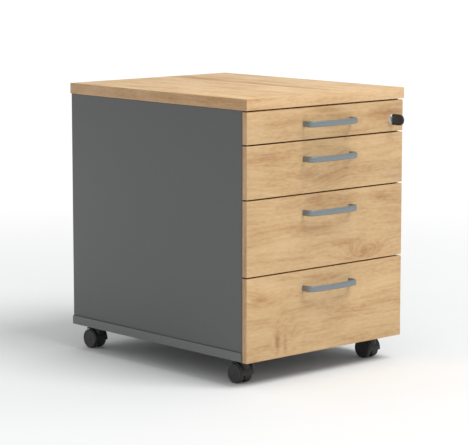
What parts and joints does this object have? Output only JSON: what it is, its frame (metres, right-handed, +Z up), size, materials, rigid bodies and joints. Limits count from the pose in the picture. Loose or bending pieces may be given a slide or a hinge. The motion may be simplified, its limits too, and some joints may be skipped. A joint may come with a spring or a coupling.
{
  "type": "rolling pedestal cabinet",
  "caption": "Rolling office pedestal with wood-decor top and drawer fronts, graphite carcass, bow handles, a central key lock and swivelling twin-wheel castors.",
  "frame": {"origin": "on the floor under the middle of the outer box, which runs from the back of the top panel to the tip of the key", "axes": "+Z up, drawer fronts face -Y, +X to the right as seen from the front"},
  "size_m": [0.432, 0.573, 0.56],
  "materials": {
    "oak_decor": "satin",
    "graphite_board": "satin",
    "beech_dowel": "matte",
    "zinc_fitting": "satin",
    "black_steel": "satin",
    "castor_nylon": "matte",
    "wheel_nylon": "matte",
    "bright_steel": "satin",
    "handle_metal": "satin",
    "drawer_steel": "satin",
    "tray_plastic": "matte",
    "bar_nylon": "satin",
    "rail_steel": "satin",
    "chrome_plate": "polished",
    "key_plastic": "satin"
  },
  "bodies": {
    "cabinet": {"top_panel": "oak_decor", "base_panel": "graphite_board", "side_left": "graphite_board", "side_right": "graphite_board", "back_panel": "graphite_board", "dowels": "beech_dowel", "cam_bolts": "zinc_fitting", "cam_discs": "zinc_fitting", "castor_plates": "black_steel", "cabinet_screws": "zinc_fitting", "rails_cabinet_1": "rail_steel", "rails_cabinet_2": "rail_steel", "rails_cabinet_3": "rail_steel", "rails_cabinet_4": "rail_steel", "lock_bar_guides": "tray_plastic"},
    "drawer_1": {"front_1": "oak_decor", "handle_1": "handle_metal", "pen_chassis_1": "drawer_steel", "pen_tray_1": "tray_plastic", "fixings_1": "zinc_fitting", "rails_drawer_1": "rail_steel", "lock_housing": "chrome_plate"},
    "drawer_2": {"front_2": "oak_decor", "handle_2": "handle_metal", "drawer_box_2": "drawer_steel", "fixings_2": "zinc_fitting", "rails_drawer_2": "rail_steel"},
    "runner_2": {"rails_middle_2": "rail_steel"},
    "drawer_3": {"front_3": "oak_decor", "handle_3": "handle_metal", "drawer_box_3": "drawer_steel", "fixings_3": "zinc_fitting", "rails_drawer_3": "rail_steel"},
    "runner_3": {"rails_middle_3": "rail_steel"},
    "drawer_4": {"front_4": "oak_decor", "handle_4": "handle_metal", "drawer_box_4": "drawer_steel", "fixings_4": "zinc_fitting", "rails_drawer_4": "rail_steel"},
    "runner_4": {"rails_middle_4": "rail_steel"},
    "castor_fl": {"castor_hood_fl": "castor_nylon", "castor_axle_fl": "bright_steel"},
    "wheel_fl_left": {"wheel_fl_left": "wheel_nylon"},
    "wheel_fl_right": {"wheel_fl_right": "wheel_nylon"},
    "castor_fr": {"castor_hood_fr": "castor_nylon", "castor_axle_fr": "bright_steel"},
    "wheel_fr_left": {"wheel_fr_left": "wheel_nylon"},
    "wheel_fr_right": {"wheel_fr_right": "wheel_nylon"},
    "castor_bl": {"castor_hood_bl": "castor_nylon", "castor_axle_bl": "bright_steel"},
    "wheel_bl_left": {"wheel_bl_left": "wheel_nylon"},
    "wheel_bl_right": {"wheel_bl_right": "wheel_nylon"},
    "castor_br": {"castor_hood_br": "castor_nylon", "castor_axle_br": "bright_steel"},
    "wheel_br_left": {"wheel_br_left": "wheel_nylon"},
    "wheel_br_right": {"wheel_br_right": "wheel_nylon"},
    "lock_core": {"lock_core": "chrome_plate"},
    "key": {"key_blade": "bright_steel", "key_bow": "key_plastic"},
    "lock_bar": {"lock_bar": "bar_nylon"}
  },
  "joints": [
    {"name": "drawer_1_slide", "type": "slide", "parent": "cabinet", "child": "drawer_1", "axis": [0, -1, 0], "range_m": [0, 0.33]},
    {"name": "drawer_2_slide", "type": "slide", "parent": "cabinet", "child": "drawer_2", "axis": [0, -1, 0], "range_m": [0, 0.43]},
    {"name": "runner_2_slide", "type": "slide", "parent": "cabinet", "child": "runner_2", "axis": [0, -1, 0], "range_m": [0, 0.215]},
    {"name": "drawer_3_slide", "type": "slide", "parent": "cabinet", "child": "drawer_3", "axis": [0, -1, 0], "range_m": [0, 0.43]},
    {"name": "runner_3_slide", "type": "slide", "parent": "cabinet", "child": "runner_3", "axis": [0, -1, 0], "range_m": [0, 0.215]},
    {"name": "drawer_4_slide", "type": "slide", "parent": "cabinet", "child": "drawer_4", "axis": [0, -1, 0], "range_m": [0, 0.43]},
    {"name": "runner_4_slide", "type": "slide", "parent": "cabinet", "child": "runner_4", "axis": [0, -1, 0], "range_m": [0, 0.215]},
    {"name": "castor_fl_swivel", "type": "hinge", "parent": "cabinet", "child": "castor_fl", "pos_m": [-0.177, -0.207, 0.045], "axis": [0, 0, 1], "continuous": true},
    {"name": "wheel_fl_left_spin", "type": "hinge", "parent": "castor_fl", "child": "wheel_fl_left", "pos_m": [-0.18725, -0.194, 0.02], "axis": [1, 0, 0], "continuous": true},
    {"name": "wheel_fl_right_spin", "type": "hinge", "parent": "castor_fl", "child": "wheel_fl_right", "pos_m": [-0.16675, -0.194, 0.02], "axis": [1, 0, 0], "continuous": true},
    {"name": "castor_fr_swivel", "type": "hinge", "parent": "cabinet", "child": "castor_fr", "pos_m": [0.177, -0.207, 0.045], "axis": [0, 0, 1], "continuous": true},
    {"name": "wheel_fr_left_spin", "type": "hinge", "parent": "castor_fr", "child": "wheel_fr_left", "pos_m": [0.16675, -0.194, 0.02], "axis": [1, 0, 0], "continuous": true},
    {"name": "wheel_fr_right_spin", "type": "hinge", "parent": "castor_fr", "child": "wheel_fr_right", "pos_m": [0.18725, -0.194, 0.02], "axis": [1, 0, 0], "continuous": true},
    {"name": "castor_bl_swivel", "type": "hinge", "parent": "cabinet", "child": "castor_bl", "pos_m": [-0.177, 0.249, 0.045], "axis": [0, 0, 1], "continuous": true},
    {"name": "wheel_bl_left_spin", "type": "hinge", "parent": "castor_bl", "child": "wheel_bl_left", "pos_m": [-0.18725, 0.262, 0.02], "axis": [1, 0, 0], "continuous": true},
    {"name": "wheel_bl_right_spin", "type": "hinge", "parent": "castor_bl", "child": "wheel_bl_right", "pos_m": [-0.16675, 0.262, 0.02], "axis": [1, 0, 0], "continuous": true},
    {"name": "castor_br_swivel", "type": "hinge", "parent": "cabinet", "child": "castor_br", "pos_m": [0.177, 0.249, 0.045], "axis": [0, 0, 1], "continuous": true},
    {"name": "wheel_br_left_spin", "type": "hinge", "parent": "castor_br", "child": "wheel_br_left", "pos_m": [0.16675, 0.262, 0.02], "axis": [1, 0, 0], "continuous": true},
    {"name": "wheel_br_right_spin", "type": "hinge", "parent": "castor_br", "child": "wheel_br_right", "pos_m": [0.18725, 0.262, 0.02], "axis": [1, 0, 0], "continuous": true},
    {"name": "lock_turn", "type": "hinge", "parent": "drawer_1", "child": "lock_core", "pos_m": [0.182, -0.2535, 0.497], "axis": [0, -1, 0], "range_deg": [0, 90]},
    {"name": "key_pull", "type": "slide", "parent": "lock_core", "child": "key", "axis": [0, -1, 0], "range_m": [0, 0.04]},
    {"name": "lock_bar_lift", "type": "slide", "parent": "cabinet", "child": "lock_bar", "axis": [0, 0, 1], "range_m": [0, 0.0085]}
  ],
  "couplings": [
    {"joint": "runner_2_slide", "follows": "drawer_2_slide", "ratio": 0.5},
    {"joint": "runner_3_slide", "follows": "drawer_3_slide", "ratio": 0.5},
    {"joint": "runner_4_slide", "follows": "drawer_4_slide", "ratio": 0.5},
    {"joint": "lock_bar_lift", "follows": "lock_turn", "m_per_rad": 0.0054}
  ]
}
